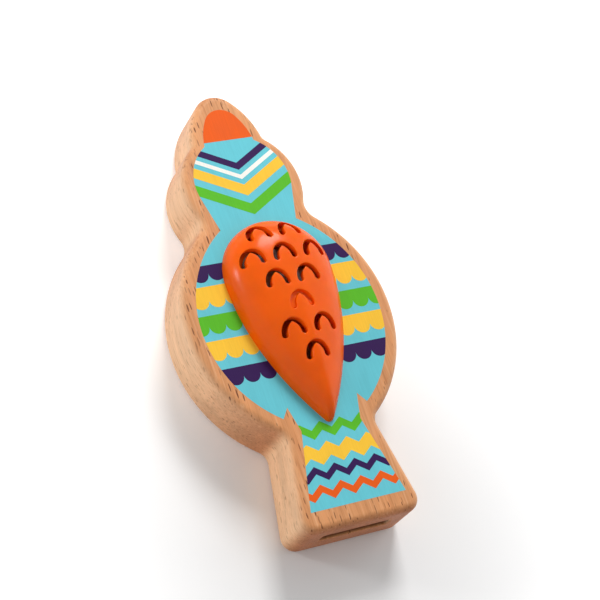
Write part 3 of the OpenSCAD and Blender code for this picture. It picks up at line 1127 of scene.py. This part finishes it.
class KAZOO_OT_print(bpy.types.Operator):
    """Printed front: a sky-blue ground with chevrons, scallops, zigzags and a stripe over it"""

    bl_idname = "kazoo.print"
    bl_label = "Printed front"

    def execute(self, context):
        board = context.scene.kazoo_board
        cap = context.scene.kazoo_cap
        art = context.scene.kazoo_print
        inks = {name: ink_material(f"{name} ink", getattr(art, name)) for name in INKS}
        area = print_area(board, cap, art)
        ground = copy_of(area)
        ground.name = "print_ground"
        flatten(ground, board.thickness - art.ink, board.thickness + art.ink)
        dress(ground, inks["sky"])
        for name, ink, (start, moves) in motifs():
            piece = draw(name, start, moves, MOTIF_SPACING)
            raise_solid(piece, board.thickness, board.thickness + 2 * art.ink)
            combine(piece, copy_of(area), "INTERSECT")
            dress(piece, inks[ink])
        bpy.data.objects.remove(area)
        return {"FINISHED"}


def copy_of(piece):
    """Copy of a tool solid with its own mesh."""
    twin = piece.copy()
    twin.data = piece.data.copy()
    bpy.context.scene.collection.objects.link(twin)
    return twin


def flatten(piece, low, high):
    """Moves the lower and upper faces of a prism to two heights."""
    for vertex in piece.data.vertices:
        vertex.co.z = low if vertex.co.z < (low + high) / 2 else high


def print_area(board, cap, art):
    """Solid over the printable front: the print's outline without the patch under the cap."""
    start = (0, board.length / 2 - art.beak_top)
    area = draw("print_area", start, print_moves(board, art), PRINT_SPACING)
    mirror_over(area)
    raise_solid(area, board.thickness - AREA_REACH, board.thickness + AREA_REACH)
    outline = teardrop(cap, UNDER_CAP, steps=24, tip_steps=4)
    outline = [Vector((v.x, v.y + cap.centre_y)) for v in outline]
    patch = draw("patch", outline[0], [Line(v) for v in outline[1:] + outline[:1]], PRINT_SPACING)
    raise_solid(patch, board.thickness - 2 * AREA_REACH, board.thickness + 2 * AREA_REACH)
    combine(area, patch, "DIFFERENCE")
    return area


# Reach of the motifs to either side, past the board's edges, and the sizes that like motifs share
ACROSS = 40 * MM
CHEVRON_SLOPE = 0.55
ZIGZAG_RISE = 2.6 * MM
ZIGZAG_PERIOD = 7 * MM
SCALLOP_RADIUS = 2.8 * MM


def stripe(low, high):
    """Straight stripe across the board."""
    start = Vector((-ACROSS, low))
    return start, [Line((ACROSS, low)), Line((ACROSS, high)), Line((-ACROSS, high)), Line(start)]


def chevron(point, thickness):
    """Broad V across the board, with its point at the bottom."""
    end_y = point + CHEVRON_SLOPE * ACROSS
    start = Vector((-ACROSS, end_y))
    lift = Vector((0, thickness))
    corners = [Vector((0, point)), Vector((ACROSS, end_y))]
    back = [corners[1] + lift, corners[0] + lift, start + lift, start]
    return start, [Line(v) for v in corners + back]


def zigzag(low, thickness):
    """Zigzag band across the board, symmetric about its middle."""
    count = math.ceil(ACROSS / ZIGZAG_PERIOD)
    xs = [i * ZIGZAG_PERIOD / 2 for i in range(-2 * count, 2 * count + 1)]
    lower = [Vector((x, low + ZIGZAG_RISE * (i % 2))) for i, x in enumerate(xs)]
    upper = [v + Vector((0, thickness)) for v in reversed(lower)]
    return lower[0], [Line(v) for v in lower[1:] + upper + lower[:1]]


def scallops(top, bottom, shift):
    """Band with a straight upper edge and a row of half rounds along its lower edge."""
    count = math.ceil(ACROSS / (2 * SCALLOP_RADIUS))
    first = -2 * SCALLOP_RADIUS * count + shift
    start = Vector((first, bottom))
    rounds = [Arc((first + (2 * i + 1) * SCALLOP_RADIUS, bottom), math.pi) for i in range(2 * count)]
    end_x = first + 4 * SCALLOP_RADIUS * count
    return start, rounds + [Line((end_x, top)), Line((first, top)), Line(start)]


# Motifs from the tail to the beak: name, ink, shape, and the shape's own sizes in millimetres
MOTIFS = (
    ("tail_band_orange", "orange", zigzag, (-65.5, 2.6)),
    ("tail_band_navy", "navy", zigzag, (-59.6, 2.4)),
    ("tail_band_yellow", "yellow", zigzag, (-54.6, 4.6)),
    ("tail_band_green", "green", zigzag, (-46.4, 3)),
    ("wing_scallops_navy", "navy", scallops, (-18.6, -21.6, 0)),
    ("wing_scallops_yellow_low", "yellow", scallops, (-9, -12.9, 2.8)),
    ("wing_scallops_green", "green", scallops, (-0.6, -4.2, 0)),
    ("wing_scallops_yellow", "yellow", scallops, (9, 4.4, 2.8)),
    ("wing_scallops_navy_high", "navy", scallops, (16, 13.2, 0)),
    ("head_chevron_green", "green", chevron, (30.4, 4)),
    ("head_chevron_yellow", "yellow", chevron, (37.2, 4)),
    ("head_chevron_white", "white", chevron, (43.2, 1.6)),
    ("head_chevron_navy", "navy", chevron, (46.6, 2.6)),
    ("beak_orange", "orange", stripe, (57.6, 72)),
)


def motifs():
    """Name, ink and outline of each motif."""
    for name, ink, shape, lengths in MOTIFS:
        yield name, ink, shape(*(length * MM for length in lengths))


class KAZOO_OT_inside(bpy.types.Operator):
    """Finishes for the membrane plate, its ring and the film, whose CAD shapes stay"""

    bl_idname = "kazoo.inside"
    bl_label = "Membrane parts"

    def execute(self, context):
        finish = context.scene.kazoo_finish
        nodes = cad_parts
        plastic = orange_plastic(finish)
        paint(nodes["membrane_plate"], plastic)
        paint(nodes["membrane_ring"], plastic)
        paint(nodes["membrane"], film_material(finish))
        return {"FINISHED"}


# Stage

# Lamps: name, place, width of the square in metres, and power in watts
LAMPS = (
    ("key light", (0.3, 0.74, 0.7), 0.36, 7.9),
    ("right fill", (0.85, 0.15, 0.5), 1.0, 3.4),
    ("left fill", (-0.95, -0.15, 0.32), 1.3, 2.5),
    ("left strip", (-0.86, 0.4, 0.26), 0.16, 2.7),
)

# Strength of the surroundings as a light
SKY_LIGHT = 0.32

# Floor: its width in metres and its gap to the board's back
FLOOR_WIDTH = 6
FLOOR_GAP = 0.05 * MM

# Glow of the floor: distances from the tail's end, in metres, between which it grows, and its strength
NEAR_GLOW = (0.02, 0.12, 0.38)
FAR_GLOW = (0.12, 0.7, 0.7)

# Camera: width of its sensor in millimetres, and the nearest thing that it sees, in metres
SENSOR_WIDTH = 36
NEAREST = 0.01


class KAZOO_OT_stage(bpy.types.Operator):
    """Pale floor, soft studio light and the camera"""

    bl_idname = "kazoo.stage"
    bl_label = "Stage"

    def execute(self, context):
        stage = context.scene.kazoo_stage
        make_floor(stage)
        make_world()
        for name, place, width, power in LAMPS:
            soft_light(name, Vector(place), width, power)
        make_camera(stage)
        context.scene.view_settings.view_transform = "Standard"
        return {"FINISHED"}


def seen_mask(tree):
    """Mask of what the camera sees, by itself or in gloss and clear pieces."""
    path = add(tree, "ShaderNodeLightPath").outputs
    seen = calc(tree, "ADD", path["Is Camera Ray"], path["Is Glossy Ray"])
    return calc(tree, "ADD", seen, path["Is Transmission Ray"], clamp=True)


def make_floor(stage):
    """Wide floor that keeps the shadow and is lifted to white for the camera."""
    bpy.ops.object.select_all(action="DESELECT")
    bpy.ops.mesh.primitive_plane_add(size=FLOOR_WIDTH, location=(0, 0, -FLOOR_GAP))
    floor = bpy.context.object
    floor.name = "floor"
    material, tree, shader = new_material("floor")
    # The floor shows white by itself away from the tail's end, so that the shadow is mainly round the tail,
    # and more so far away, where the lamps no longer reach.
    place = add(tree, "ShaderNodeTexCoord").outputs["Object"]
    ends = {0: place, 1: (0, BOARD_LOW.y, 0)}
    from_tail = add(tree, "ShaderNodeVectorMath", ends, operation="DISTANCE").outputs["Value"]
    glows = [spread(tree, from_tail, near, far, 0.0, most) for near, far, most in (NEAR_GLOW, FAR_GLOW)]
    glow = calc(tree, "MAXIMUM", *glows)
    surface = {
        "Base Color": rgba(stage.floor),
        "Roughness": 0.9,
        "Specular IOR Level": 0.0,
        "Emission Color": WHITE,
        "Emission Strength": calc(tree, "MULTIPLY", seen_mask(tree), glow),
    }
    feed(tree, shader, surface)
    paint(floor, material)


def make_world():
    """Even white surroundings."""
    world = bpy.data.worlds.new("studio")
    world.use_nodes = True
    tree = world.node_tree
    tree.nodes.clear()
    strength = spread(tree, seen_mask(tree), 0.0, 1.0, SKY_LIGHT, 1.0)
    background = add(tree, "ShaderNodeBackground", {"Color": WHITE, "Strength": strength})
    add(tree, "ShaderNodeOutputWorld", {"Surface": background.outputs[0]})
    bpy.context.scene.world = world


def soft_light(name, place, width, power):
    """Square area light that faces the middle of the board's front."""
    data = bpy.data.lights.new(name, "AREA")
    data.size = width
    data.energy = power
    lamp = bpy.data.objects.new(name, data)
    lamp.location = place
    target = Vector((0, 0, BOARD_HIGH.z))
    lamp.rotation_euler = (target - place).to_track_quat("-Z", "Y").to_euler()
    bpy.context.scene.collection.objects.link(lamp)


def make_camera(stage):
    """Camera at the photograph's viewing angle."""
    data = bpy.data.cameras.new("camera")
    data.lens = stage.lens
    data.sensor_width = SENSOR_WIDTH
    data.clip_start = NEAREST
    camera = bpy.data.objects.new("camera", data)
    right = Vector(stage.camera_right).normalized()
    up = Vector(stage.camera_up)
    up = (up - up.dot(right) * right).normalized()
    turn = Matrix((right, up, right.cross(up))).transposed()
    camera.matrix_world = Matrix.Translation(Vector(stage.camera)) @ turn.to_4x4()
    bpy.context.scene.collection.objects.link(camera)
    bpy.context.scene.camera = camera


# Add-on

class KAZOO_PT_panel(bpy.types.Panel):
    """Kazoo tools in the sidebar"""

    bl_idname = "KAZOO_PT_panel"
    bl_label = "Kazoo"
    bl_space_type = "VIEW_3D"
    bl_region_type = "UI"
    bl_category = "Kazoo"

    def draw(self, context):
        for operator in OPERATORS:
            self.layout.operator(operator.bl_idname)
        for name in SETTINGS:
            group_of_settings = getattr(context.scene, name)
            box = self.layout.box()
            for setting in group_of_settings.__annotations__:
                box.prop(group_of_settings, setting)


OPERATORS = (KAZOO_OT_board, KAZOO_OT_cap, KAZOO_OT_print, KAZOO_OT_inside, KAZOO_OT_stage)
SETTINGS = {
    "kazoo_board": KazooBoard,
    "kazoo_cap": KazooCap,
    "kazoo_print": KazooPrint,
    "kazoo_finish": KazooFinish,
    "kazoo_stage": KazooStage,
}
CLASSES = (*SETTINGS.values(), *OPERATORS, KAZOO_PT_panel)


def register():
    """Registers the classes and puts the settings on the scene."""
    for cls in CLASSES:
        bpy.utils.register_class(cls)
    for name, cls in SETTINGS.items():
        setattr(bpy.types.Scene, name, bpy.props.PointerProperty(type=cls))


def unregister():
    """Takes the settings and the classes away again."""
    for name in SETTINGS:
        delattr(bpy.types.Scene, name)
    for cls in reversed(CLASSES):
        bpy.utils.unregister_class(cls)


def main():
    """Builds every piece and the stage."""
    register()
    bpy.ops.kazoo.board()
    bpy.ops.kazoo.cap()
    bpy.ops.kazoo.print()
    bpy.ops.kazoo.inside()
    bpy.ops.kazoo.stage()


if __name__ == "__main__":
    main()
